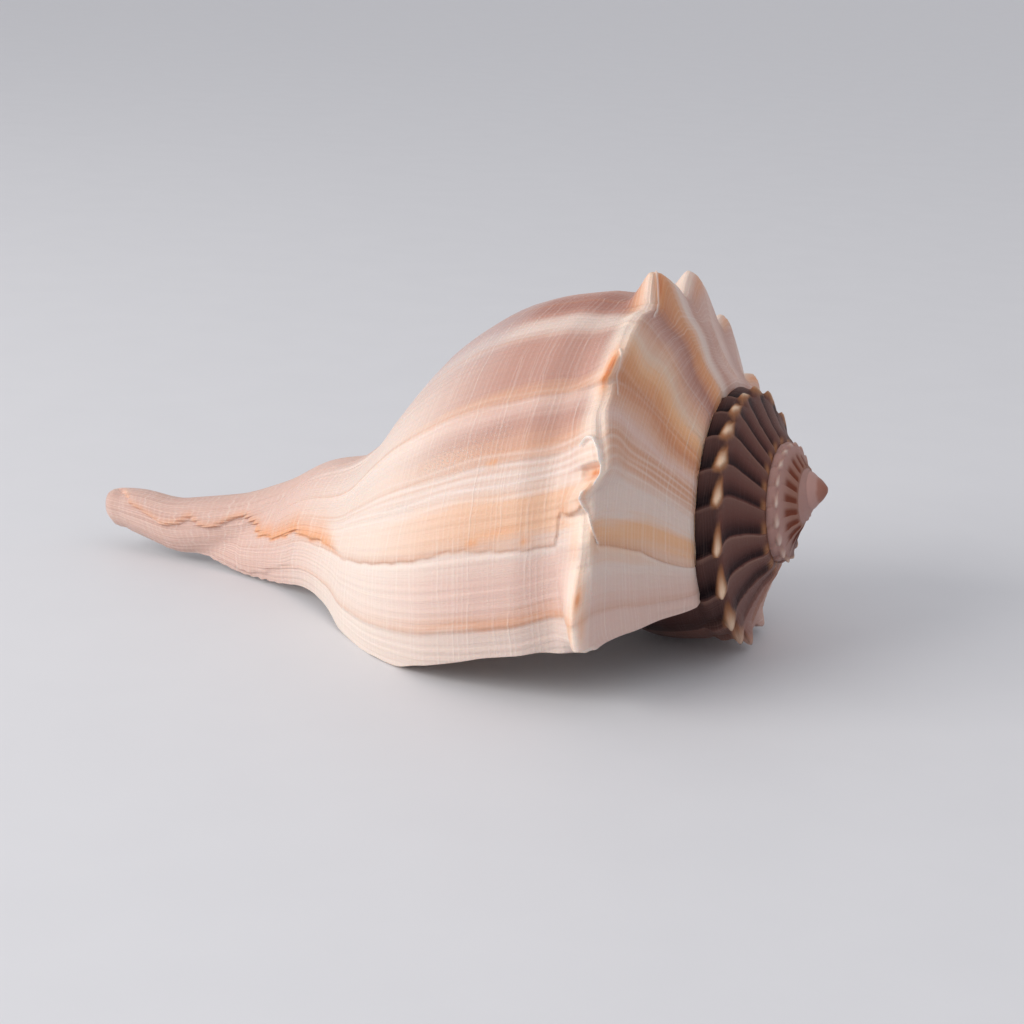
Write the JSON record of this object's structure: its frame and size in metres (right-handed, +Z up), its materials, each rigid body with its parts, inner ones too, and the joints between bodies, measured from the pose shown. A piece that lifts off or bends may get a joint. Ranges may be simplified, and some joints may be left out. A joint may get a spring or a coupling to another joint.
{
  "type": "whelk shell",
  "caption": "Left-handed whelk shell with a knobbed spire, spiny shoulder, wide aperture and long open canal, lying on its aperture.",
  "frame": {"origin": "bottom centre of the shell's bounding box, on the surface it lies on", "axes": "+X along the coil's axis seen from above, from the canal's end to the apex; +Z up; the lip lies towards -Y"},
  "size_m": [0.132, 0.0738, 0.0609],
  "materials": {
    "shell": "satin natural shell, cream with mauve-brown bands and a dark brown spire whorl"
  },
  "bodies": {
    "root": {"whelk_shell": "shell"}
  },
  "joints": []
}
